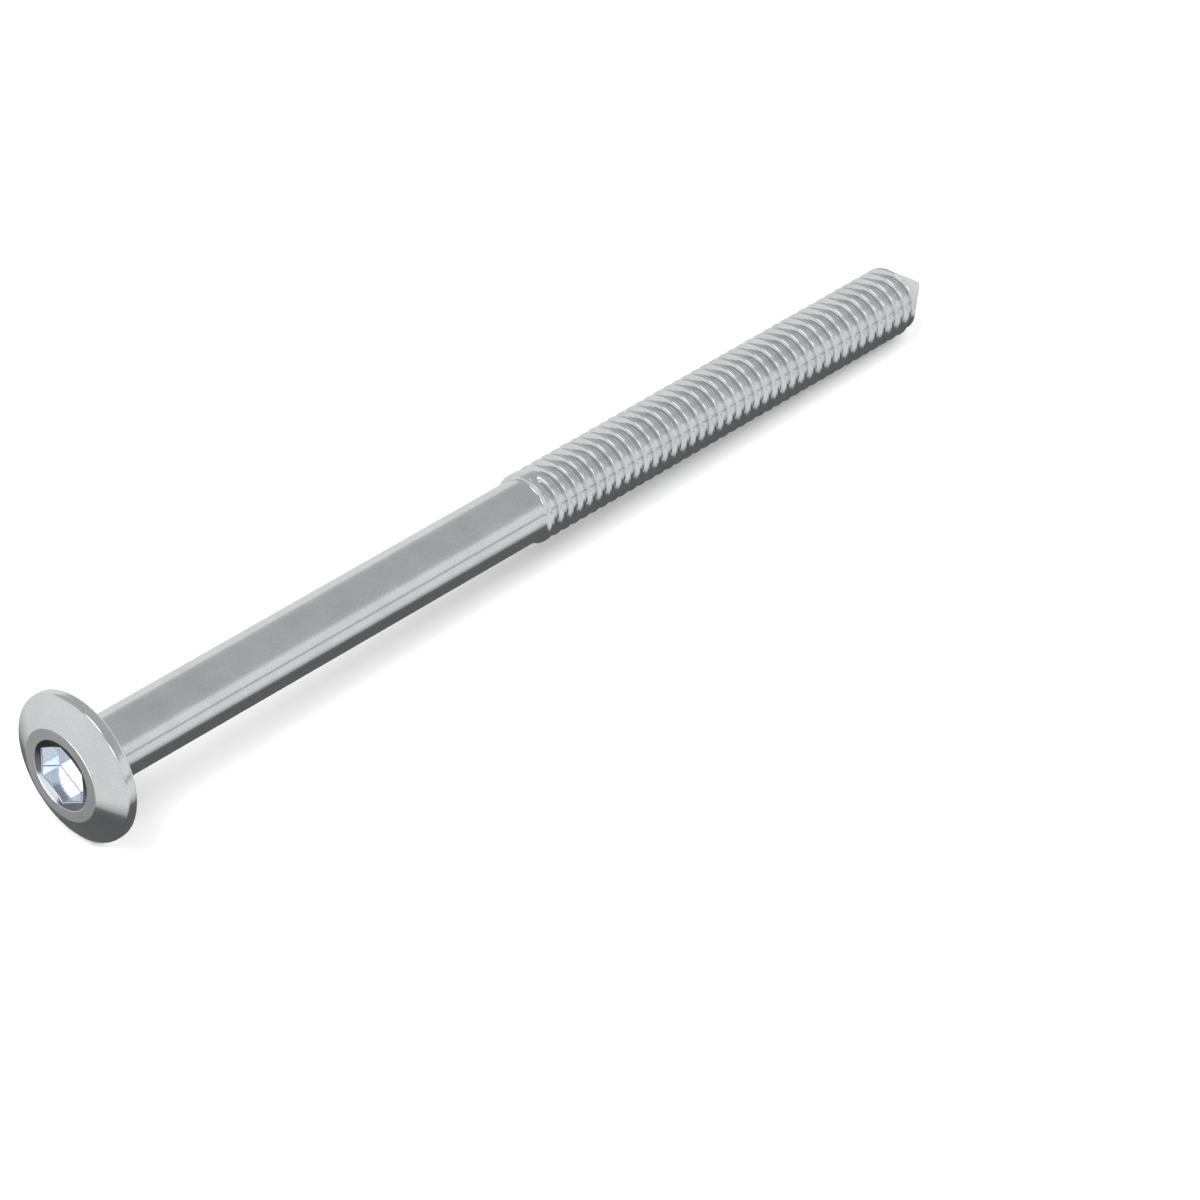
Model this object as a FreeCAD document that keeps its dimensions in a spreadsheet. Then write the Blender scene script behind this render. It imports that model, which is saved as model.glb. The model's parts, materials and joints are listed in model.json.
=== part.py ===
import FreeCAD, Part
import math
import os

import Sketcher

# A connecting screw for wooden furniture: one piece of steel, headed, thread-rolled and plated.
# Lengths are in millimetres and angles in degrees.
# It is modelled along +X. The face under the head is at X = 0, with the head on the minus
# side and the point on the plus side. At the end it is laid down as it comes to rest: on
# the edge of its head and on the last crest of its thread, with its lowest points at Z = 0.

SIZES = {
    # Wide flat head with a bevel on top
    "head_diameter": 16.6,
    "head_height": 2.9,
    "rim_height": 1.2,
    "face_diameter": 10.4,
    "edge_rounding": 0.4,
    # Hexagonal socket and its conical lead-in
    "socket_width": 6.0,
    "socket_depth": 2.6,
    "lead_in_diameter": 7.9,
    "lead_in_angle": 150,
    # Conical collar under the head, which runs into the plain shank
    "collar_diameter": 11.6,
    "collar_height": 1.15,
    "neck_rounding": 0.5,
    "shank_diameter": 7.16,
    "plain_length": 62.7,
    # Rise from the shank to the narrow ring that the thread starts in
    "shoulder_length": 0.3,
    "first_ring_width": 0.1,
    # Thread, right-handed
    "thread_diameter": 8.0,
    "thread_pitch": 1.475,
    "thread_depth": 0.45,
    "crest_width": 0.2,
    # Point
    "length_under_head": 127.1,
    "tip_angle": 72,
    "tip_rounding": 0.5,
}

# How near an edge must lie to the place where it is looked for
NEAR = 0.001

# Share of the socket's half width at which the lead-in's cut starts, inside the hexagon
INSIDE_SOCKET = 0.9

# How far the groove's cutter reaches out past the crests, as a share of the thread's depth
CUTTER_REACH = 0.3

# Part of a turn by which the groove runs on past a whole number of turns, so that its end
# never lies in the plane of its start
EXTRA_TURN = 0.7

doc = FreeCAD.newDocument("connecting_screw")
sheet = doc.addObject("Spreadsheet::Sheet", "Sizes")
for row, (name, number) in enumerate(SIZES.items(), 1):
    sheet.set(f"A{row}", name)
    sheet.set(f"B{row}", str(number))
    sheet.setAlias(f"B{row}", name)
body = doc.addObject("PartDesign::Body", "screw")
body.Label = "screw"
doc.recompute()


def value(expression):
    """What an expression over the sizes gives now, as a plain number."""
    return float(body.evalExpression(expression))


def origin_part(role):
    """The plane or axis of the body's own origin that has this role."""
    return next(part for part in body.Origin.OriginFeatures if part.Role == role)


def new_sketch(name, role):
    """An empty sketch on one of the body's origin planes."""
    sketch = body.newObject("Sketcher::SketchObject", name)
    sketch.AttachmentSupport = [(origin_part(role), "")]
    sketch.MapMode = "FlatFace"
    return sketch


def dimension(sketch, name, expression, kind, *where):
    """A named dimension of a sketch that follows an expression."""
    index = sketch.addConstraint(Sketcher.Constraint(kind, *where, value(expression)))
    sketch.renameConstraint(index, name)
    sketch.setExpression(f"Constraints.{name}", expression)


def place_point(sketch, name, edge, end, across, up):
    """Ties an end of an edge to its two distances from the origin, or to an axis at None."""
    if across is None:
        sketch.addConstraint(Sketcher.Constraint("PointOnObject", edge, end, -2))
    else:
        dimension(sketch, f"{name}_x", across, "DistanceX", -1, 1, edge, end)
    if up is None:
        sketch.addConstraint(Sketcher.Constraint("PointOnObject", edge, end, -1))
    else:
        dimension(sketch, f"{name}_y", up, "DistanceY", -1, 1, edge, end)


def draw_lines(sketch, corners, closed=True):
    """Straight edges through named corners: {name: (distance across, distance up)}."""
    points = [FreeCAD.Vector(value(x or "0"), value(y or "0")) for x, y in corners.values()]
    ends = points[1:] + points[:1] if closed else points[1:]
    edges = [sketch.addGeometry(Part.LineSegment(a, b), False) for a, b in zip(points, ends)]
    for first, second in zip(edges, edges[1:]):
        sketch.addConstraint(Sketcher.Constraint("Coincident", first, 2, second, 1))
    if closed:
        sketch.addConstraint(Sketcher.Constraint("Coincident", edges[-1], 2, edges[0], 1))
    for edge, (name, (across, up)) in zip(edges, corners.items()):
        place_point(sketch, name, edge, 1, across, up)
    return edges


def ring_edges(shape, along, radius):
    """Names of the circular edges round the X axis at this place and of this radius."""
    found = []
    for number, edge in enumerate(shape.Edges, 1):
        if edge.Degenerated or not isinstance(edge.Curve, Part.Circle):
            continue
        if abs(edge.Curve.Center.x - along) < NEAR and abs(edge.Curve.Radius - radius) < NEAR:
            found.append(f"Edge{number}")
    return found


def round_rings(name, base, radius, places):
    """A fillet on ring edges, each place given by expressions of its X and its radius."""
    edges = []
    for along, ring_radius in places:
        edges += ring_edges(base.Shape, value(along), value(ring_radius))
    if len(edges) != len(places):
        raise RuntimeError(f"{name}: {len(edges)} of {len(places)} edges found")
    fillet = body.newObject("PartDesign::Fillet", name)
    fillet.Base = (base, edges)
    fillet.setExpression("Radius", radius)
    doc.recompute()
    return fillet


# Where the cone of the point would end if it were sharp, and where it leaves the thread
HALF_TIP = "(Sizes.tip_angle * 1deg / 2)"
APEX = f"(Sizes.length_under_head + Sizes.tip_rounding * (1 / sin({HALF_TIP}) - 1))"
CONE_START = f"({APEX} - Sizes.thread_diameter / 2 / tan({HALF_TIP}))"

# Outline of the blank: half of its section, from the head's face round to the point.
# The last corner only starts the solver off: the rounding of the tip sets it.
outline = new_sketch("BlankOutline", "XZ_Plane")
sides = draw_lines(outline, {
    "face_centre": ("-Sizes.head_height", None),
    "face_edge": ("-Sizes.head_height", "Sizes.face_diameter / 2"),
    "rim_top": ("-Sizes.rim_height", "Sizes.head_diameter / 2"),
    "rim_seat": (None, "Sizes.head_diameter / 2"),
    "seat_inner": (None, "Sizes.collar_diameter / 2"),
    "neck": ("Sizes.collar_height", "Sizes.shank_diameter / 2"),
    "shoulder": ("Sizes.plain_length", "Sizes.shank_diameter / 2"),
    "ring": ("Sizes.plain_length + Sizes.shoulder_length", "Sizes.thread_diameter / 2"),
    "cone_start": (CONE_START, "Sizes.thread_diameter / 2"),
    "cone_end": (f"{APEX} - Sizes.tip_rounding / tan({HALF_TIP})", "Sizes.tip_rounding"),
}, closed=False)
tip_centre = FreeCAD.Vector(value("Sizes.length_under_head - Sizes.tip_rounding"), 0)
tip_circle = Part.Circle(tip_centre, FreeCAD.Vector(0, 0, 1), value("Sizes.tip_rounding"))
tip_turn = math.radians(90 - value("Sizes.tip_angle / 2"))
tip_arc = outline.addGeometry(Part.ArcOfCircle(tip_circle, 0, tip_turn), False)
tip_end = FreeCAD.Vector(value("Sizes.length_under_head"), 0)
axis_line = outline.addGeometry(
    Part.LineSegment(tip_end, FreeCAD.Vector(value("-Sizes.head_height"), 0)), False)
place_point(outline, "tip", axis_line, 1, "Sizes.length_under_head", None)
outline.addConstraint([
    Sketcher.Constraint("Coincident", axis_line, 2, sides[0], 1),
    Sketcher.Constraint("Coincident", tip_arc, 1, axis_line, 1),
    Sketcher.Constraint("PointOnObject", tip_arc, 3, -1),
    Sketcher.Constraint("Tangent", sides[-1], 2, tip_arc, 2),
])
dimension(outline, "tip_radius", "Sizes.tip_rounding", "Radius", tip_arc)

blank = body.newObject("PartDesign::Revolution", "Blank")
blank.Profile = outline
blank.ReferenceAxis = (origin_part("X_Axis"), [""])
blank.Angle = 360
doc.recompute()

rim = round_rings("RimRounding", blank, "Sizes.edge_rounding", [
    ("-Sizes.rim_height", "Sizes.head_diameter / 2"),
    ("0", "Sizes.head_diameter / 2"),
])
round_rings("NeckRounding", rim, "Sizes.neck_rounding", [
    ("Sizes.collar_height", "Sizes.shank_diameter / 2"),
])

# Hexagonal socket, cut into the face of the head with two of its corners up and down
hexagon = new_sketch("SocketHexagon", "YZ_Plane")
hexagon.setExpression("AttachmentOffset.Base.z", "-Sizes.head_height * 1mm")
CORNER = "(Sizes.socket_width / sqrt(3))"
HALF_FLAT = "(Sizes.socket_width / 2)"
draw_lines(hexagon, {
    "top": (None, CORNER),
    "right_upper": (HALF_FLAT, f"{CORNER} / 2"),
    "right_lower": (HALF_FLAT, f"-{CORNER} / 2"),
    "bottom": (None, f"-{CORNER}"),
    "left_lower": (f"-{HALF_FLAT}", f"-{CORNER} / 2"),
    "left_upper": (f"-{HALF_FLAT}", f"{CORNER} / 2"),
})
socket = body.newObject("PartDesign::Pocket", "Socket")
socket.Profile = hexagon
socket.Reversed = True
socket.setExpression("Length", "Sizes.socket_depth")
doc.recompute()

# Conical lead-in of the socket
LEAD_IN_INNER = f"({HALF_FLAT} * {INSIDE_SOCKET})"
LEAD_IN_DEPTH = (f"((Sizes.lead_in_diameter / 2 - {LEAD_IN_INNER})"
                 " / tan(Sizes.lead_in_angle * 1deg / 2))")
wedge = new_sketch("LeadInSection", "XZ_Plane")
draw_lines(wedge, {
    "mouth_inner": ("-Sizes.head_height", LEAD_IN_INNER),
    "mouth_outer": ("-Sizes.head_height", "Sizes.lead_in_diameter / 2"),
    "deep_inner": (f"-Sizes.head_height + {LEAD_IN_DEPTH}", LEAD_IN_INNER),
})
lead_in = body.newObject("PartDesign::Groove", "LeadIn")
lead_in.Profile = wedge
lead_in.ReferenceAxis = (origin_part("X_Axis"), [""])
lead_in.Angle = 360
doc.recompute()

# Thread: one V-shaped groove winds from the full ring to the cone of the point. The
# cutter's flanks end exactly at the crests and its sides go straight out from there.
GROOVE_WIDTH = "(Sizes.thread_pitch - Sizes.crest_width)"
GROOVE_START = ("(Sizes.plain_length + Sizes.shoulder_length + Sizes.first_ring_width"
                f" + {GROOVE_WIDTH} / 2)")
GROOVE_END = (f"({CONE_START} + Sizes.thread_depth / tan({HALF_TIP})"
              " + Sizes.thread_pitch / 4)")
CREST = "(Sizes.thread_diameter / 2)"
CUTTER_TOP = f"({CREST} + Sizes.thread_depth * {CUTTER_REACH})"
cutter = new_sketch("ThreadCutter", "XZ_Plane")
draw_lines(cutter, {
    "root": (GROOVE_START, f"{CREST} - Sizes.thread_depth"),
    "left_crest": (f"{GROOVE_START} - {GROOVE_WIDTH} / 2", CREST),
    "left_top": (f"{GROOVE_START} - {GROOVE_WIDTH} / 2", CUTTER_TOP),
    "right_top": (f"{GROOVE_START} + {GROOVE_WIDTH} / 2", CUTTER_TOP),
    "right_crest": (f"{GROOVE_START} + {GROOVE_WIDTH} / 2", CREST),
})
thread = body.newObject("PartDesign::SubtractiveHelix", "Thread")
thread.Profile = cutter
thread.ReferenceAxis = (origin_part("X_Axis"), [""])
thread.Mode = "pitch-turns-angle"
thread.setExpression("Pitch", "Sizes.thread_pitch")
TURNS = f"(ceil(({GROOVE_END} - {GROOVE_START}) / Sizes.thread_pitch) + {EXTRA_TURN})"
thread.setExpression("Turns", TURNS)
thread.LeftHanded = False
thread.Reversed = False
doc.recompute()
body.Tip = thread

# How it lies. The head's seat edge, a ring of rounding, and the last crest on the
# underside both touch the ground, so the axis leans down towards the point.
FIRST_CREST_BELOW = f"({GROOVE_START} + Sizes.crest_width / 2)"
LAST_CREST = (f"({FIRST_CREST_BELOW} + Sizes.thread_pitch"
              f" * floor(({CONE_START} - {FIRST_CREST_BELOW}) / Sizes.thread_pitch))")
RUN = f"({LAST_CREST} + Sizes.edge_rounding)"
DROP = f"(Sizes.head_diameter / 2 - Sizes.edge_rounding - {CREST})"
LEAN = f"(atan({DROP} / {RUN}) + asin(Sizes.edge_rounding / sqrt({RUN} ^ 2 + {DROP} ^ 2)))"
HEAD_END = f"(-Sizes.head_height * cos({LEAN}) - Sizes.face_diameter / 2 * sin({LEAN}))"
TIP_END = (f"((Sizes.length_under_head - Sizes.tip_rounding) * cos({LEAN})"
           " + Sizes.tip_rounding)")
body.Placement = FreeCAD.Placement(FreeCAD.Vector(), FreeCAD.Rotation(FreeCAD.Vector(0, 1, 0), 1))
body.setExpression("Placement.Rotation.Angle", LEAN)
body.setExpression("Placement.Base.x", f"-({HEAD_END} + {TIP_END}) / 2")
body.setExpression("Placement.Base.z", f"{LAST_CREST} * sin({LEAN}) + {CREST} * cos({LEAN})")
doc.recompute()

for part in doc.Objects:
    if "Invalid" in part.State or "Error" in part.State:
        raise RuntimeError(f"{part.Name} failed: {part.State}")

# Each cut must take something away
volumes = [step.Shape.Volume for step in (blank, socket, lead_in, thread)]
if sorted(volumes, reverse=True) != volumes or len(set(volumes)) != len(volumes):
    raise RuntimeError(f"A cut took nothing away: {volumes}")
shape = body.Shape
if shape.isNull() or not shape.isValid() or len(shape.Solids) != 1:
    raise RuntimeError("The screw isn't one valid solid")

os.makedirs("parts", exist_ok=True)
shape.exportStep(f"parts/{body.Label}.step")
box = shape.optimalBoundingBox(True, False)
print(f"{body.Label}: {shape.Volume:.1f} mm3, {len(shape.Faces)} faces")
print(f"box {box.XLength:.3f} x {box.YLength:.3f} x {box.ZLength:.3f} mm, X from {box.XMin:.3f}")
print(f"leans {value(LEAN):.4f} degrees, lowest point {box.ZMin:.4f} mm")
print(f"origin of the face under the head at {body.Placement.Base}")
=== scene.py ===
# %% [markdown]
# This lesson dresses one long connecting screw for furniture, as it lies on a pale table.
# The real one starts as steel wire. Its wide flat head is pressed cold, its thread is
# rolled between two dies, and the whole is plated with bright zinc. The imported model
# gives the true sizes and the place. Here the same form is made with finer edges and
# gets its metal, its light and its camera.

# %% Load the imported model
import json
import math

import bmesh
import bpy
from mathutils import Matrix, Vector

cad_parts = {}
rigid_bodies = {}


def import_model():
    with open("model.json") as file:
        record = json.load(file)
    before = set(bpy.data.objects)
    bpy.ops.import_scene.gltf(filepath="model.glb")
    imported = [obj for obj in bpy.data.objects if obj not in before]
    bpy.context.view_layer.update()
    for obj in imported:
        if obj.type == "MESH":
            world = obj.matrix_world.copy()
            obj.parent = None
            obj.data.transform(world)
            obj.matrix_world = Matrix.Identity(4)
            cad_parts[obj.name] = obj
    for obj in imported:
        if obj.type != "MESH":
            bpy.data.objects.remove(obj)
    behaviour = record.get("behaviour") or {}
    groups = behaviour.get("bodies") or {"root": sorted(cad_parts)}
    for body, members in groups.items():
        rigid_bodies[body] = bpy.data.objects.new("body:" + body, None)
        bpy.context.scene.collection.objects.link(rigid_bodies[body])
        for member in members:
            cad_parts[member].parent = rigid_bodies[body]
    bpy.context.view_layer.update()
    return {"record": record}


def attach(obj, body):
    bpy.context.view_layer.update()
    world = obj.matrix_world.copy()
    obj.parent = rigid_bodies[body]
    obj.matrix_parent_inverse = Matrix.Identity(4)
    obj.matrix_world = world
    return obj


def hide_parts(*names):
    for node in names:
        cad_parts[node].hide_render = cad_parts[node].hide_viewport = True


for leftover in list(bpy.data.objects):
    bpy.data.objects.remove(leftover)
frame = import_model()

# %% [markdown]
# The screw doesn't lie level: it rests on the edge of its head and on the last crests of
# its thread, so its own axis leans down to the point. The record of the model names the
# flat ring under the head as a mount. Its place and its axis give one matrix, which
# turns the screw's own frame, along +X from that ring and in millimetres, into the
# table's frame in metres. Everything below is made in the screw's own frame first.

# %% The screw's own frame
MM = 0.001
seat = next(mount for mount in frame["record"]["mounts"] if mount["name"] == "seat")
along = Vector(seat["axis"]).normalized()
across = Vector((0.0, 1.0, 0.0))
upward = along.cross(across)
seat_centre = Vector((seat["pos_m"][0], 0.0, seat["pos_m"][2]))
axes = Matrix((along, across, upward)).transposed()
screw_to_table = Matrix.Translation(seat_centre) @ axes.to_4x4()
lean = math.degrees(math.asin(-along.z))
print(f"the screw leans {lean:.2f} degrees")

# %% [markdown]
# A turned or pressed edge is never quite sharp. One function takes the corners of an
# outline, each with the radius of its rounding, and gives the points of the outline with
# a small arc at each corner. Where a straight run is long enough, it also adds a point
# close to each arc, so that the smooth shading bends only in the arc and the flats stay
# flat. A little slack keeps a rounding error from adding a step to an arc.

# %% Outlines with rounded corners
STEP_SLACK = 0.01
ROOM_FOR_MARGINS = 3


def round_corner(before, corner, after, radius, arc_step):
    """Points of the arc that touches both runs of a corner."""
    back = (before - corner).normalized()
    ahead = (after - corner).normalized()
    half = back.angle(ahead) / 2
    turn = math.pi - 2 * half
    centre = corner + (back + ahead).normalized() * radius / math.sin(half)
    start = corner + back * radius / math.tan(half)
    spoke = start - centre
    side = 1.0 if back.x * ahead.y - back.y * ahead.x < 0 else -1.0
    steps = max(2, math.ceil(math.degrees(turn) / arc_step - STEP_SLACK))
    points = []
    for i in range(steps + 1):
        angle = side * turn * i / steps
        cosine, sine = math.cos(angle), math.sin(angle)
        turned_x = spoke.x * cosine - spoke.y * sine
        turned_y = spoke.x * sine + spoke.y * cosine
        points.append(centre + Vector((turned_x, turned_y)))
    return points


def outline(corners, arc_step=10.0, margin=0.04):
    """Points through corners given as (x, radius of the turned piece, rounding)."""
    places = [Vector(corner[:2]) for corner in corners]
    runs = [[places[0]]]
    for i in range(1, len(corners) - 1):
        rounding = corners[i][2]
        runs.append(round_corner(places[i - 1], places[i], places[i + 1], rounding, arc_step))
    runs.append([places[-1]])
    points = list(runs[0])
    for run in runs[1:]:
        step = run[0] - points[-1]
        if step.length > ROOM_FOR_MARGINS * margin:
            inset = step.normalized() * margin
            points += [points[-1] + inset, run[0] - inset]
        points += run
    return points


right_angle = round_corner(Vector((0, 0)), Vector((5, 0)), Vector((5, 5)), 1.0, 10.0)
print("a right angle in steps of 10 degrees gets", len(right_angle), "points")

# %% [markdown]
# All sizes are in millimetres, as a maker would write them on a drawing. X runs from the
# ring under the head towards the point. Two sizes tell where the thread's own mesh takes
# over: after a short plain ring on top of the shoulder, and some way down the cone of the
# point. The socket's mesh begins just inside the edge of its lead-in cone.

# %% Sizes of the head, the shank and the point
HEAD_RADIUS = 8.3
HEAD_HEIGHT = 2.9
RIM_HEIGHT = 1.2
RIM_ROUNDING = 0.4
FACE_RADIUS = 5.2
FACE_ROUNDING = 0.15
LEAD_IN_RADIUS = 3.95
LEAD_IN_ANGLE = 75.0
LEAD_IN_SEAM = 3.9
MOUTH_ROUNDING = 0.08
COLLAR_RADIUS = 5.8
COLLAR_HEIGHT = 1.15
COLLAR_ROUNDING = 0.25
NECK_ROUNDING = 0.5
SHANK_RADIUS = 3.58
PLAIN_LENGTH = 62.7
FOOT_ROUNDING = 0.3
SHOULDER_LENGTH = 0.3
SHOULDER_ROUNDING = 0.1
RING_LENGTH = 0.07
THREAD_RADIUS = 4.0
LENGTH = 127.1
THREAD_ON_CONE = 1.7
TIP_HALF_ANGLE = 36.0
TIP_ROUNDING = 0.5
TIP_STEPS = 6

tan_lead_in = math.tan(math.radians(LEAD_IN_ANGLE))
tan_tip = math.tan(math.radians(TIP_HALF_ANGLE))
tip_apex = LENGTH + TIP_ROUNDING * (1 / math.sin(math.radians(TIP_HALF_ANGLE)) - 1)
cone_start = tip_apex - THREAD_RADIUS / tan_tip
print(f"{HEAD_HEIGHT + LENGTH:.1f} mm long, with the point's cone from {cone_start:.2f} mm on")

# %% [markdown]
# The head, the collar and the plain shank are one turned form. Its outline starts on the
# lead-in cone of the socket and ends on top of the full ring in which the thread starts.
# The point is a second outline, from the cone to the rounded tip.

# %% Outlines of the head with the shank, and of the point
thread_from = PLAIN_LENGTH + SHOULDER_LENGTH + RING_LENGTH
thread_to = cone_start + THREAD_ON_CONE


def lead_in_x(radius):
    """Where the lead-in cone has this radius."""
    return -HEAD_HEIGHT + (LEAD_IN_RADIUS - radius) / tan_lead_in


head_outline = outline([
    (lead_in_x(LEAD_IN_SEAM), LEAD_IN_SEAM, 0),
    (-HEAD_HEIGHT, LEAD_IN_RADIUS, MOUTH_ROUNDING),
    (-HEAD_HEIGHT, FACE_RADIUS, FACE_ROUNDING),
    (-RIM_HEIGHT, HEAD_RADIUS, RIM_ROUNDING),
    (0.0, HEAD_RADIUS, RIM_ROUNDING),
    (0.0, COLLAR_RADIUS, COLLAR_ROUNDING),
    (COLLAR_HEIGHT, SHANK_RADIUS, NECK_ROUNDING),
    (PLAIN_LENGTH, SHANK_RADIUS, FOOT_ROUNDING),
    (PLAIN_LENGTH + SHOULDER_LENGTH, THREAD_RADIUS, SHOULDER_ROUNDING),
    (thread_from, THREAD_RADIUS, 0),
])
tip_centre = LENGTH - TIP_ROUNDING
tip_outline = [Vector((thread_to, (tip_apex - thread_to) * tan_tip))]
for step in range(TIP_STEPS + 1):
    angle = math.radians((90 - TIP_HALF_ANGLE) * (1 - step / TIP_STEPS))
    tip_outline.append(Vector((tip_centre + TIP_ROUNDING * math.cos(angle),
                               TIP_ROUNDING * math.sin(angle))))
print(len(head_outline), "points on the head and shank,", len(tip_outline), "on the point")

# %% [markdown]
# The thread is one groove that winds about forty times round the screw. One turn of its
# section is enough: from the middle of a crest, down a flank, over the flat root and up
# again to the next crest. The dies press the groove in and the metal rises between them
# without filling them, so the crests are round. The section is kept as a line of points
# whose height is measured down from the crest.

# %% One turn of the thread's section
THREAD_PITCH = 1.475
THREAD_DEPTH = 0.58
FLANK_ANGLE = 30.0
CREST_WIDTH = 0.24
CREST_ROUNDING = 0.2
ROOT_ROUNDING = 0.05
FIRST_RING = 0.1
TURNS_BEFORE = 2
half_crest = CREST_WIDTH / 2
half_ridge = half_crest + THREAD_DEPTH * math.tan(math.radians(FLANK_ANGLE))
thread_section = outline([
    (0.0, 0.0, 0),
    (half_crest, 0.0, CREST_ROUNDING),
    (half_ridge, -THREAD_DEPTH, ROOT_ROUNDING),
    (THREAD_PITCH - half_ridge, -THREAD_DEPTH, ROOT_ROUNDING),
    (THREAD_PITCH - half_crest, 0.0, CREST_ROUNDING),
    (THREAD_PITCH, 0.0, 0),
], arc_step=20.0, margin=0.05)[:-1]
first_crest = PLAIN_LENGTH + SHOULDER_LENGTH + FIRST_RING - half_crest
turns = math.ceil((thread_to - first_crest) / THREAD_PITCH) + TURNS_BEFORE
print(len(thread_section), "points in the section,", turns, "turns of it")

# %% [markdown]
# Both the turned parts and the thread follow a rule, so Geometry Nodes make them. One
# small function adds a node of any kind, with its settings and what goes into it.

# %% Nodes
def add(tree, kind, inputs=(), **settings):
    """A new node; inputs are values or sockets, in order or by name."""
    node = tree.nodes.new(kind)
    for name, value in settings.items():
        setattr(node, name, value)
    for key, value in (inputs.items() if isinstance(inputs, dict) else enumerate(inputs)):
        if isinstance(value, bpy.types.NodeSocket):
            tree.links.new(value, node.inputs[key])
        elif value is not None:
            node.inputs[key].default_value = value
    return node


def new_tree(name, inputs):
    """A geometry tree with these named inputs; returns it and its input node."""
    tree = bpy.data.node_groups.new(name, "GeometryNodeTree")
    tree.interface.new_socket("Outline", in_out="INPUT", socket_type="NodeSocketGeometry")
    for label, kind in inputs.items():
        tree.interface.new_socket(label, in_out="INPUT", socket_type=kind)
    tree.interface.new_socket("Geometry", in_out="OUTPUT", socket_type="NodeSocketGeometry")
    return tree, add(tree, "NodeGroupInput")


def line_object(name, points):
    """A mesh of loose points, which the node trees read in order."""
    mesh = bpy.data.meshes.new(name)
    mesh.from_pydata([(point.x, point.y, 0.0) for point in points], [], [])
    host = bpy.data.objects.new(name, mesh)
    bpy.context.scene.collection.objects.link(host)
    return host


def plain_mesh(host, tree, values):
    """Runs the tree on the host with these inputs and returns the plain mesh that it makes."""
    modifier = host.modifiers.new(tree.name, "NODES")
    modifier.node_group = tree
    for item in tree.interface.items_tree:
        if item.item_type == "SOCKET" and item.in_out == "INPUT" and item.name in values:
            modifier[item.identifier] = values[item.name]
    evaluated = host.evaluated_get(bpy.context.evaluated_depsgraph_get())
    mesh = bpy.data.meshes.new_from_object(evaluated)
    bpy.data.objects.remove(host)
    print(tree.name, "made", len(mesh.polygons), "faces")
    return mesh


print("nodes of Blender", bpy.app.version_string)

# %% [markdown]
# Every turned form is a grid wrapped round the axis: one row for each point of the
# outline, one column for each step of the turn. The index of a grid point tells its row
# and its column; half a step is added first, so that rounding down never slips to the
# row before. The last column lies on the first one, and merging closes that seam.

# %% Rows and columns of a wrapped grid
COLUMNS = 96
COLUMN_COUNT = COLUMNS + 1
SEAM_ANGLE = 90.0
WELD = 0.0008


def wrapped_grid(tree, rows):
    """A grid of this many rows; returns it with sockets for the row and the share of a turn."""
    grid = add(tree, "GeometryNodeMeshGrid", {"Vertices X": rows, "Vertices Y": COLUMN_COUNT})
    index = add(tree, "GeometryNodeInputIndex").outputs[0]
    part = add(tree, "ShaderNodeMath", (index, COLUMN_COUNT), operation="DIVIDE").outputs[0]
    nudge = add(tree, "ShaderNodeMath", (part, 0.5 / COLUMN_COUNT), operation="ADD").outputs[0]
    row = add(tree, "ShaderNodeMath", (nudge,), operation="FLOOR").outputs[0]
    before = add(tree, "ShaderNodeMath", (row, COLUMN_COUNT), operation="MULTIPLY").outputs[0]
    column = add(tree, "ShaderNodeMath", (index, before), operation="SUBTRACT").outputs[0]
    share = add(tree, "ShaderNodeMath", (column, COLUMNS), operation="DIVIDE").outputs[0]
    return grid.outputs["Mesh"], row, share


def outline_point(tree, points, index):
    """Sockets for x and height of one point of the outline."""
    place = add(tree, "GeometryNodeInputPosition").outputs[0]
    sample = add(tree, "GeometryNodeSampleIndex",
                 {"Geometry": points, "Value": place, "Index": index},
                 data_type="FLOAT_VECTOR", domain="POINT", clamp=True)
    parts = add(tree, "ShaderNodeSeparateXYZ", (sample.outputs["Value"],))
    return parts.outputs["X"], parts.outputs["Y"]


def finish_turned(tree, grid, share, x, radius, material):
    """Wraps the grid at x and radius, welds it, and ends the tree."""
    turned = add(tree, "ShaderNodeMath", (share, math.tau), operation="MULTIPLY").outputs[0]
    seam = math.radians(SEAM_ANGLE)
    angle = add(tree, "ShaderNodeMath", (turned, seam), operation="ADD").outputs[0]
    cosine = add(tree, "ShaderNodeMath", (angle,), operation="COSINE").outputs[0]
    sine = add(tree, "ShaderNodeMath", (angle,), operation="SINE").outputs[0]
    y = add(tree, "ShaderNodeMath", (radius, cosine), operation="MULTIPLY").outputs[0]
    z = add(tree, "ShaderNodeMath", (radius, sine), operation="MULTIPLY").outputs[0]
    place = add(tree, "ShaderNodeCombineXYZ", (x, y, z)).outputs[0]
    placed = add(tree, "GeometryNodeSetPosition", {"Geometry": grid, "Position": place})
    welded = add(tree, "GeometryNodeMergeByDistance",
                 {"Geometry": placed.outputs[0], "Distance": WELD})
    whole = add(tree, "GeometryNodeRealizeInstances", {"Geometry": welded.outputs[0]})
    coated = add(tree, "GeometryNodeSetMaterial",
                 {"Geometry": whole.outputs[0], "Material": material})
    add(tree, "NodeGroupOutput", (coated.outputs[0],))


print(COLUMNS, "columns, one every", 360 / COLUMNS, "degrees")

# %% [markdown]
# Three finishes are named here and get their nodes further down. The screw is plated
# with bright zinc in one bath, and then dipped in a liquid that leaves a thin blue film.
# On the open surfaces the zinc shows as a neutral, soft mirror. In the deep socket more
# of the liquid can stay and leave a thicker film, so the mirror looks pale blue there.
# The cone at the mouth of the socket gets a dark grey colour, a painted dark reflection
# of the darker surroundings that it mirrors, which sets the bright socket off from the face.

# %% Names of the three finishes
zinc = bpy.data.materials.new("zinc_plated_steel")
blue_zinc = bpy.data.materials.new("blue_passivated_zinc")
# The lead-in cone's finish: its dark grey is a painted dark reflection, not a colour of the
# zinc.
painted_dark_reflection_zinc = bpy.data.materials.new("lead_in_zinc_painted_dark")
finishes = (zinc, blue_zinc, painted_dark_reflection_zinc)
print("finishes:", [finish.name for finish in finishes])

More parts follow.
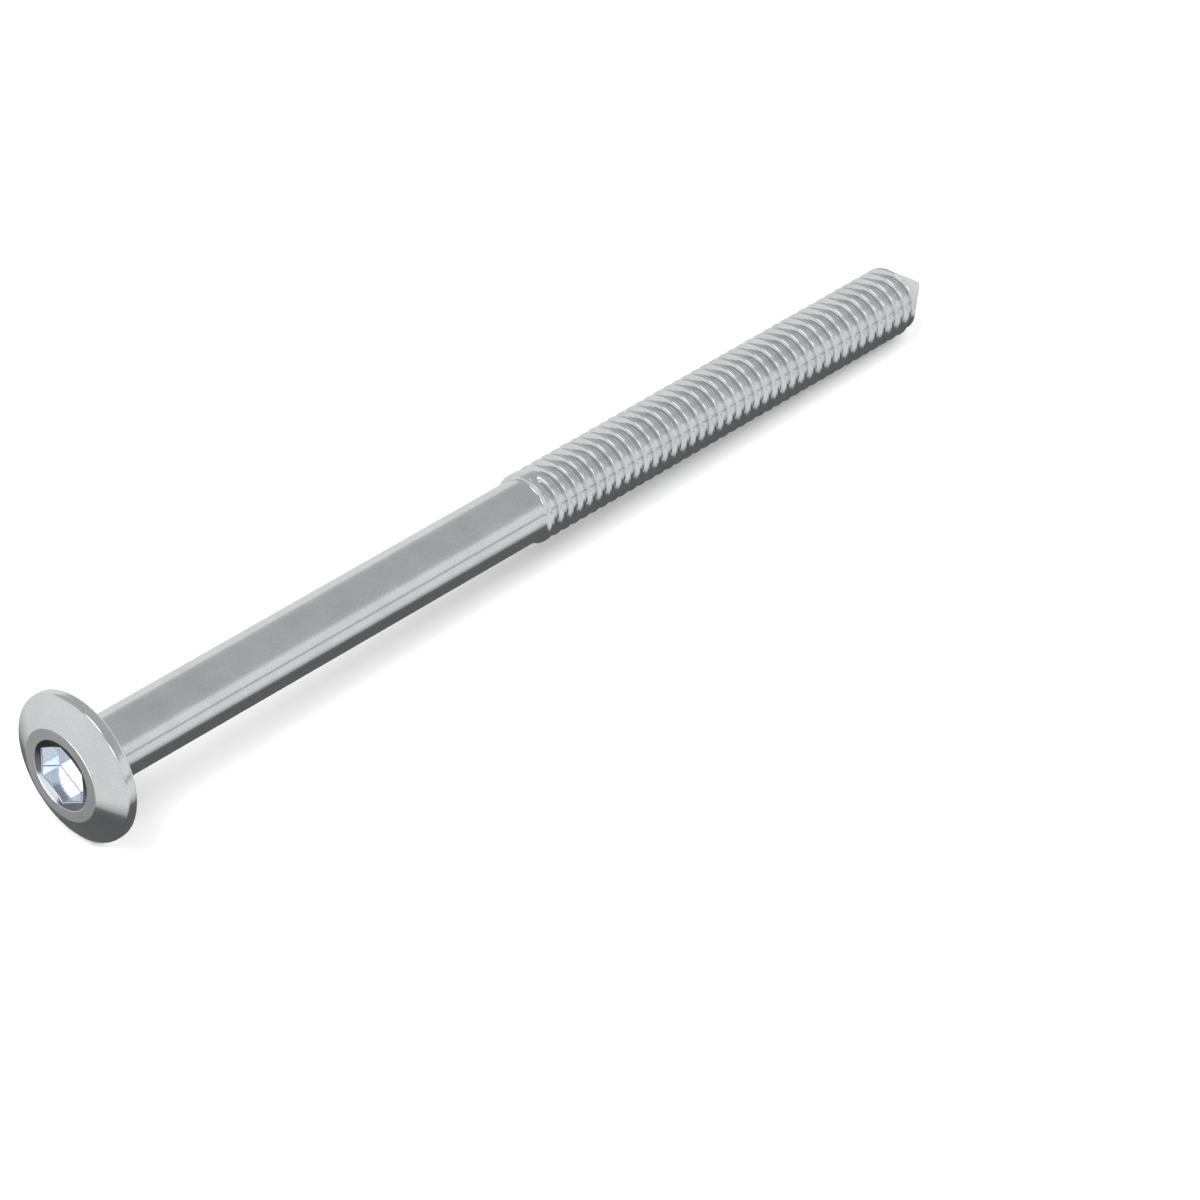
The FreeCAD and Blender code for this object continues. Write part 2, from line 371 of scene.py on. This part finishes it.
# %% [markdown]
# The first tree turns an outline round the axis, as a lathe would cut it. It needs only
# the outline, the number of its rows and a finish, and it makes the head with the shank
# and, once more, the point.

# %% The turned tree
turned_tree, given = new_tree("turned_form", {
    "Rows": "NodeSocketInt", "Finish": "NodeSocketMaterial"})
grid, row, share = wrapped_grid(turned_tree, given.outputs["Rows"])
x, radius = outline_point(turned_tree, given.outputs["Outline"], row)
finish_turned(turned_tree, grid, share, x, radius, given.outputs["Finish"])

head_and_shank = plain_mesh(line_object("head_outline", head_outline), turned_tree,
                            {"Rows": len(head_outline), "Finish": zinc})
point = plain_mesh(line_object("point_outline", tip_outline), turned_tree,
                   {"Rows": len(tip_outline), "Finish": zinc})

# %% [markdown]
# The thread uses the same wrapped grid, with two rules added. The first one is the
# winding: while a row goes once round, it moves on by one pitch, so that it ends where
# the same row of the next turn begins. Two turns before the start are wound as well and
# pressed flat on the end of the plain ring, which closes the skin there.

# %% The thread tree, along the axis
WHOLE_TURN_SLACK = 0.001
thread_tree, given = new_tree("rolled_thread", {
    "Turns": "NodeSocketInt", "Turns before": "NodeSocketInt",
    "Section points": "NodeSocketInt", "Pitch": "NodeSocketFloat",
    "First crest": "NodeSocketFloat", "From": "NodeSocketFloat", "To": "NodeSocketFloat",
    "Crest radius": "NodeSocketFloat", "Point apex": "NodeSocketFloat",
    "Point slope": "NodeSocketFloat", "Finish": "NodeSocketMaterial"})
size = given.outputs
rows = add(thread_tree, "ShaderNodeMath", (size["Turns"], size["Section points"], 1.0),
           operation="MULTIPLY_ADD")
grid, row, share = wrapped_grid(thread_tree, rows.outputs[0])
turn_part = add(thread_tree, "ShaderNodeMath", (row, size["Section points"]),
                operation="DIVIDE").outputs[0]
turn_safe = add(thread_tree, "ShaderNodeMath", (turn_part, WHOLE_TURN_SLACK),
                operation="ADD").outputs[0]
turn = add(thread_tree, "ShaderNodeMath", (turn_safe,), operation="FLOOR").outputs[0]
rows_before = add(thread_tree, "ShaderNodeMath", (turn, size["Section points"]),
                  operation="MULTIPLY").outputs[0]
section_index = add(thread_tree, "ShaderNodeMath", (row, rows_before),
                    operation="SUBTRACT").outputs[0]
section_x, section_y = outline_point(thread_tree, size["Outline"], section_index)

wound = add(thread_tree, "ShaderNodeMath", (turn, share), operation="ADD").outputs[0]
from_start = add(thread_tree, "ShaderNodeMath", (wound, size["Turns before"]),
                 operation="SUBTRACT").outputs[0]
advance = add(thread_tree, "ShaderNodeMath", (from_start, size["Pitch"], size["First crest"]),
              operation="MULTIPLY_ADD").outputs[0]
free_x = add(thread_tree, "ShaderNodeMath", (advance, section_x), operation="ADD").outputs[0]
x = add(thread_tree, "ShaderNodeClamp", (free_x, size["From"], size["To"])).outputs[0]
print(len(thread_tree.nodes), "nodes place the rows along the axis")

# %% [markdown]
# The second rule is the depth. It starts at nothing and grows within the first part of a
# turn, as it does where the die first bites. At the point the rows lie on the cone
# wherever the cone is the smaller of the two, so the last turns run out in it.

# %% The thread tree, in and out
BITE = 0.06
RUNOUT_BLEND = 0.06
bite = add(thread_tree, "ShaderNodeMapRange", {"Value": from_start, "From Max": BITE},
           interpolation_type="SMOOTHSTEP").outputs[0]
cut_radius = add(thread_tree, "ShaderNodeMath", (section_y, bite, size["Crest radius"]),
                 operation="MULTIPLY_ADD").outputs[0]
to_apex = add(thread_tree, "ShaderNodeMath", (size["Point apex"], x),
              operation="SUBTRACT").outputs[0]
cone_radius = add(thread_tree, "ShaderNodeMath", (to_apex, size["Point slope"]),
                  operation="MULTIPLY").outputs[0]
radius = add(thread_tree, "ShaderNodeMath", (cut_radius, cone_radius, RUNOUT_BLEND),
             operation="SMOOTH_MIN").outputs[0]
finish_turned(thread_tree, grid, share, x, radius, size["Finish"])

thread = plain_mesh(line_object("thread_section", thread_section), thread_tree, {
    "Turns": turns, "Turns before": TURNS_BEFORE, "Section points": len(thread_section),
    "Pitch": THREAD_PITCH, "First crest": first_crest, "From": thread_from, "To": thread_to,
    "Crest radius": THREAD_RADIUS, "Point apex": tip_apex, "Point slope": tan_tip,
    "Finish": zinc})

# %% [markdown]
# The socket can be pressed with a hexagonal punch after a cone has been sunk for it. Its
# rings have the same columns as the turned forms, and two opposite corners point up and
# down. Each column runs down the cone, over a small rounding, down the wall and over the
# floor to the middle. No node tree is needed for one such form, so plain code makes it.

# %% The socket
SOCKET_WIDTH = 6.0
SOCKET_DEPTH = 2.6
HEX_MOUTH_ROUNDING = 0.12
HEX_FLOOR_ROUNDING = 0.08
socket_floor = -HEAD_HEIGHT + SOCKET_DEPTH
column_step = 360.0 / COLUMNS


def hexagon_radius(turned):
    """Distance of the socket's wall from the axis, this many degrees from an upper corner."""
    return SOCKET_WIDTH / 2 / math.cos(math.radians(turned % 60.0 - 30.0))


def socket_column(turned):
    """Points of one column of the socket, from the lead-in cone to the middle of the floor."""
    wall = hexagon_radius(turned)
    return outline([
        (lead_in_x(LEAD_IN_SEAM), LEAD_IN_SEAM, 0),
        (lead_in_x(wall), wall, HEX_MOUTH_ROUNDING),
        (socket_floor, wall, HEX_FLOOR_ROUNDING),
        (socket_floor, 0.0, 0),
    ], arc_step=30.0)


columns = [socket_column(column_step * c) for c in range(COLUMNS)]
print("points in a column:", sorted(set(len(column) for column in columns)))
depth_rows = len(columns[0])
vertices = []
for c, column in enumerate(columns):
    angle = math.radians(SEAM_ANGLE + column_step * c)
    vertices += [(p.x, p.y * math.cos(angle), p.y * math.sin(angle)) for p in column]
faces = []
for c in range(COLUMNS):
    here = c * depth_rows
    there = (c + 1) % COLUMNS * depth_rows
    faces += [(here + r, here + r + 1, there + r + 1, there + r) for r in range(depth_rows - 1)]
socket = bpy.data.meshes.new("socket")
socket.from_pydata(vertices, [], faces)
print("the socket has", len(faces), "faces")

# %% [markdown]
# The four meshes share their border points, so merging makes one closed skin. Its normals
# are then turned outwards, and the matrix from the start lays it on the table. Edges that
# bend by more than the angle below stay crisp; the rest is shaded smooth. The first faces
# of each column of the socket belong to the lead-in cone and take its grey finish, whose
# dark colour is a painted dark reflection.

# %% One screw
SHARP_ANGLE = 42.0
CLEAN = 0.001
LEAD_IN_ROWS = 3


def finish_of(mesh, index):
    """The finish of one face, by its number in its own mesh."""
    if mesh is not socket:
        return zinc
    # The lead-in rows take the finish with the painted dark reflection.
    return painted_dark_reflection_zinc if index % (depth_rows - 1) < LEAD_IN_ROWS else blue_zinc


skin = bmesh.new()
for mesh in (head_and_shank, thread, point, socket):
    first_face = len(skin.faces)
    skin.from_mesh(mesh)
    skin.faces.ensure_lookup_table()
    for i, face in enumerate(skin.faces[first_face:]):
        face.material_index = finishes.index(finish_of(mesh, i))
bmesh.ops.remove_doubles(skin, verts=skin.verts, dist=CLEAN)
bmesh.ops.recalc_face_normals(skin, faces=skin.faces)
open_edges = sum(not edge.is_manifold for edge in skin.edges)
skin.transform(screw_to_table @ Matrix.Scale(MM, 4))
for face in skin.faces:
    face.smooth = True
screw_mesh = bpy.data.meshes.new("connecting_screw")
skin.to_mesh(screw_mesh)
triangles = sum(len(face.verts) - 2 for face in skin.faces)
skin.free()
screw_mesh.set_sharp_from_angle(angle=math.radians(SHARP_ANGLE))
for finish in finishes:
    screw_mesh.materials.append(finish)
screw = bpy.data.objects.new("connecting_screw", screw_mesh)
bpy.context.scene.collection.objects.link(screw)
print(triangles, "triangles,", open_edges, "open edges")

# %% [markdown]
# Bright zinc plating is a neutral, slightly cool grey metal with a soft mirror shine. It
# isn't perfectly even: the bath leaves faint clouds a few millimetres wide, and tumbling
# in bulk leaves a fine grain. The real grain is far finer than a tenth of a millimetre,
# too fine to show in the picture, so it is drawn as coarse as it needs to show. The
# clouds change the colour a little, and the grain the colour, the roughness and the
# height. The patterns are in object coordinates, in metres, so a scale of 1000 means one
# wave in each millimetre.

# %% Zinc-plated steel
CLOUD_SIZE = 3.5
GRAIN_SIZE = 0.2
GRAIN_LOW = 0.3
GRAIN_HIGH = 0.7
GRAIN_HEIGHT = 0.02
GRAIN_STRENGTH = 0.1
SPOTS_LOW = 0.7
SPOTS_HIGH = 1.3


def srgb(code):
    """Linear colour from a hex value."""
    parts = [int(code[i:i + 2], 16) / 255 for i in (0, 2, 4)]
    return [p / 12.92 if p <= 0.04045 else ((p + 0.055) / 1.055) ** 2.4 for p in parts] + [1.0]


def per_mm(size):
    """Texture scale for a pattern of this size in millimetres."""
    return 1.0 / (size * MM)


def plated(material, light, dark, rough_low, rough_high):
    """Nodes of a plated finish: clouds in colour; grain in colour, roughness and height."""
    material.use_nodes = True
    tree = material.node_tree
    tree.nodes.clear()
    where = add(tree, "ShaderNodeTexCoord").outputs["Object"]
    clouds = add(tree, "ShaderNodeTexNoise", {
        "Vector": where, "Scale": per_mm(CLOUD_SIZE), "Detail": 3.0})
    grain = add(tree, "ShaderNodeTexNoise", {
        "Vector": where, "Scale": per_mm(GRAIN_SIZE), "Detail": 2.0})
    both = add(tree, "ShaderNodeMath", (clouds.outputs[0], grain.outputs[0]), operation="ADD")
    spots = add(tree, "ShaderNodeMapRange", {
        "Value": both.outputs[0], "From Min": SPOTS_LOW, "From Max": SPOTS_HIGH})
    tint = add(tree, "ShaderNodeMix", {"Factor": spots.outputs[0], "A": dark, "B": light},
               data_type="RGBA")
    rough = add(tree, "ShaderNodeMapRange", {
        "Value": grain.outputs[0], "From Min": GRAIN_LOW, "From Max": GRAIN_HIGH,
        "To Min": rough_low, "To Max": rough_high})
    bump = add(tree, "ShaderNodeBump", {
        "Height": grain.outputs[0], "Strength": GRAIN_STRENGTH, "Distance": GRAIN_HEIGHT * MM})
    shader = add(tree, "ShaderNodeBsdfPrincipled", {
        "Base Color": tint.outputs[2], "Metallic": 1.0, "Roughness": rough.outputs[0],
        "Normal": bump.outputs[0]})
    add(tree, "ShaderNodeOutputMaterial", {"Surface": shader.outputs[0]})


plated(zinc, srgb("E9EAEB"), srgb("DADCDE"), 0.05, 0.09)
plated(blue_zinc, srgb("F1F5FA"), srgb("E3EAF3"), 0.05, 0.09)
# Dark grey base colour of the lead-in cone: a painted dark reflection of its surroundings.
plated(painted_dark_reflection_zinc, srgb("72787F"), srgb("6B7178"), 0.06, 0.12)
print("grain of", GRAIN_SIZE, "mm on", len(finishes), "finishes")

# %% [markdown]
# The floor is uncoated white board, pressed smooth but not polished: it spreads the light
# evenly, shows no shine and takes soft shadows. A polished screw on a white table mirrors
# mostly what stands round it, and the part of the table right below it lies in its own
# shade. So the mirror images don't show the floor; they show the surroundings below.

# %% Floor
FLOOR_RADIUS = 4.0
FLOOR_STEP = 5
floor_mesh = bpy.data.meshes.new("floor")
ring = []
for degrees in range(0, 360, FLOOR_STEP):
    angle = math.radians(degrees)
    ring.append((FLOOR_RADIUS * math.cos(angle), FLOOR_RADIUS * math.sin(angle), 0.0))
floor_mesh.from_pydata(ring, [], [list(range(len(ring)))])
floor = bpy.data.objects.new("floor", floor_mesh)
bpy.context.scene.collection.objects.link(floor)
floor.visible_glossy = False
paper = bpy.data.materials.new("matt_white_board")
paper.use_nodes = True
paper.node_tree.nodes.clear()
paper_shader = add(paper.node_tree, "ShaderNodeBsdfPrincipled", {
    "Base Color": srgb("FAFAFA"), "Roughness": 0.9, "Specular IOR Level": 0.1})
add(paper.node_tree, "ShaderNodeOutputMaterial", {"Surface": paper_shader.outputs[0]})
floor_mesh.materials.append(paper)
print("floor across, metres:", 2 * FLOOR_RADIUS)

# %% [markdown]
# A shiny metal shows the room, so the room is the real lamp of this picture. It is a
# product studio: light walls all round at eye height, a greyer ceiling and dark ground.
# The world's brightness depends first on how far a direction points up or down, from -1
# straight down to 1 straight up, and the room is written as such heights with the
# brightness at each. Towards the bright side the light wall is taller, at both edges.

# %% Walls, ceiling and ground
BRIGHT_SIDE = (-0.95, -0.3, 0.0)
BRIGHT_FROM = 0.4
BRIGHT_REACH = 0.26
ROOM = [(-1.0, 0.13), (-0.72, 0.13), (-0.63, 0.165), (-0.59, 0.40), (-0.56, 0.50), (-0.5, 0.62),
        (-0.42, 0.76), (0.28, 0.80), (0.34, 0.70), (0.44, 0.52), (0.6, 0.47), (1.0, 0.45)]
world = bpy.data.worlds.new("studio_room")
bpy.context.scene.world = world
world.use_nodes = True
room = world.node_tree
room.nodes.clear()
direction = add(room, "ShaderNodeTexCoord").outputs["Generated"]
toward = add(room, "ShaderNodeSeparateXYZ", (direction,)).outputs
facing = add(room, "ShaderNodeVectorMath", (direction, BRIGHT_SIDE),
             operation="DOT_PRODUCT").outputs["Value"]
in_front = add(room, "ShaderNodeMapRange", {
    "Value": facing, "From Min": BRIGHT_FROM, "From Max": 1.0,
    "To Max": BRIGHT_REACH}).outputs[0]
off_level = add(room, "ShaderNodeMath", (toward["Z"],), operation="ABSOLUTE").outputs[0]
nearer = add(room, "ShaderNodeMath", (off_level, in_front), operation="SUBTRACT").outputs[0]
to_level = add(room, "ShaderNodeMath", (nearer, 0.0), operation="MAXIMUM").outputs[0]
side = add(room, "ShaderNodeMath", (toward["Z"],), operation="SIGN").outputs[0]
height = add(room, "ShaderNodeMath", (to_level, side), operation="MULTIPLY").outputs[0]
share_up = add(room, "ShaderNodeMapRange", {
    "Value": height, "From Min": -1.0, "From Max": 1.0}).outputs[0]
ramp = add(room, "ShaderNodeValToRGB", (share_up,))
stops = ramp.color_ramp.elements
for i, (level, grey) in enumerate(ROOM):
    place = (level + 1) / 2
    stop = stops[i] if i < 2 else stops.new(place)
    stop.position = place
    stop.color = (grey, grey, grey, 1.0)
print(len(stops), "steps of brightness in the room")

# %% [markdown]
# A dimmer ledge on the near side draws the thin dark line along the shank. Three soft
# boxes give the white streaks on the thread, the bright floor of the socket and the
# white arc in its lead-in cone. Each has its direction, the degrees round it that are
# fully lit, the degrees at which it ends, and its power.

# %% Ledge and soft boxes
LEDGE_HEIGHT = -0.09
LEDGE_WIDTH = 0.1
LEDGE_SHADE = 0.4
LEDGE_BEGINS = -0.3
LEDGE_FULL = -0.6
SOFTBOXES = [((-0.56, -0.04, 0.83), 13.0, 18.0, 2.6),
             ((-0.72, -0.52, 0.46), 6.0, 10.0, 2.0),
             ((-0.895, 0.37, -0.27), 9.0, 12.0, 4.5)]
from_ledge = add(room, "ShaderNodeMath", (toward["Z"], LEDGE_HEIGHT),
                 operation="SUBTRACT").outputs[0]
off_ledge = add(room, "ShaderNodeMath", (from_ledge,), operation="ABSOLUTE").outputs[0]
ledge = add(room, "ShaderNodeMapRange", {
    "Value": off_ledge, "From Max": LEDGE_WIDTH, "To Min": 1.0, "To Max": 0.0},
    interpolation_type="SMOOTHSTEP").outputs[0]
near_side = add(room, "ShaderNodeMapRange", {
    "Value": toward["Y"], "From Min": LEDGE_BEGINS, "From Max": LEDGE_FULL,
    "To Max": LEDGE_SHADE}).outputs[0]
shade = add(room, "ShaderNodeMath", (ledge, near_side), operation="MULTIPLY").outputs[0]
brightness = add(room, "ShaderNodeMath", (1.0, shade), operation="SUBTRACT").outputs[0]
for aim, inner, outer, power in SOFTBOXES:
    near_aim = add(room, "ShaderNodeVectorMath", (direction, Vector(aim).normalized()),
                   operation="DOT_PRODUCT").outputs["Value"]
    glow = add(room, "ShaderNodeMapRange", {
        "Value": near_aim, "From Min": math.cos(math.radians(outer)),
        "From Max": math.cos(math.radians(inner)), "To Max": power},
        interpolation_type="SMOOTHSTEP").outputs[0]
    brightness = add(room, "ShaderNodeMath", (brightness, glow), operation="ADD").outputs[0]
walls = add(room, "ShaderNodeBackground", {"Color": ramp.outputs[0], "Strength": brightness})
add(room, "ShaderNodeOutputWorld", {"Surface": walls.outputs[0]})
print(len(SOFTBOXES), "soft boxes and", len(room.nodes), "nodes in the room")

# %% [markdown]
# Two large soft lamps light the table. They stand on opposite sides and are strong, so
# the board is pure white apart from a pale shadow close to the screw. The metal doesn't
# mirror them, because the room above already holds all that it mirrors.

# %% Lamps
LAMP_WIDTH = 1.6


def soft_lamp(name, place, watts):
    """A square area lamp at place, aimed at the screw."""
    lamp = bpy.data.lights.new(name, "AREA")
    lamp.size = LAMP_WIDTH
    lamp.energy = watts
    holder = bpy.data.objects.new(name, lamp)
    holder.location = place
    holder.rotation_euler = (-Vector(place)).to_track_quat("-Z", "Y").to_euler()
    holder.visible_glossy = False
    bpy.context.scene.collection.objects.link(holder)
    print(name, "at", place)


soft_lamp("lamp_left", (-0.9, 0.6, 1.5), 34.0)
soft_lamp("lamp_right", (0.9, -0.8, 1.5), 30.0)

# %% [markdown]
# The camera stands where the photograph was taken from: in front of the head, to the left
# and above, looking down along the screw. A long lens keeps the far end nearly as large
# as the near one.

# %% Camera
AIM = Vector((0.000732, -0.011331, 0.0))
DISTANCE = 0.557168
AZIMUTH = math.radians(43.607)
DOWN = math.radians(37.504)
ROLL = math.radians(0.089)
LENS = 157.577
SENSOR_WIDTH = 36.0
NEAREST = 0.01

forward = Vector((math.cos(DOWN) * math.cos(AZIMUTH),
                  math.cos(DOWN) * math.sin(AZIMUTH),
                  -math.sin(DOWN)))
level = forward.cross(Vector((0, 0, 1))).normalized()
right = level * math.cos(ROLL) + level.cross(forward) * math.sin(ROLL)
up = right.cross(forward)
camera_data = bpy.data.cameras.new("camera")
camera_data.lens = LENS
camera_data.sensor_width = SENSOR_WIDTH
camera_data.clip_start = NEAREST
camera = bpy.data.objects.new("camera", camera_data)
facing_screw = Matrix((right, up, -forward)).transposed().to_4x4()
camera.matrix_world = Matrix.Translation(AIM - forward * DISTANCE) @ facing_screw
bpy.context.scene.collection.objects.link(camera)
bpy.context.scene.camera = camera
bpy.context.scene.view_settings.view_transform = "Standard"
print("camera at", [round(v, 4) for v in camera.matrix_world.translation])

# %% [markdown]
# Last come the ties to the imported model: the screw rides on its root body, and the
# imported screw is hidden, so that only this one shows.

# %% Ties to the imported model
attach(screw, "root")
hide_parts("screw")
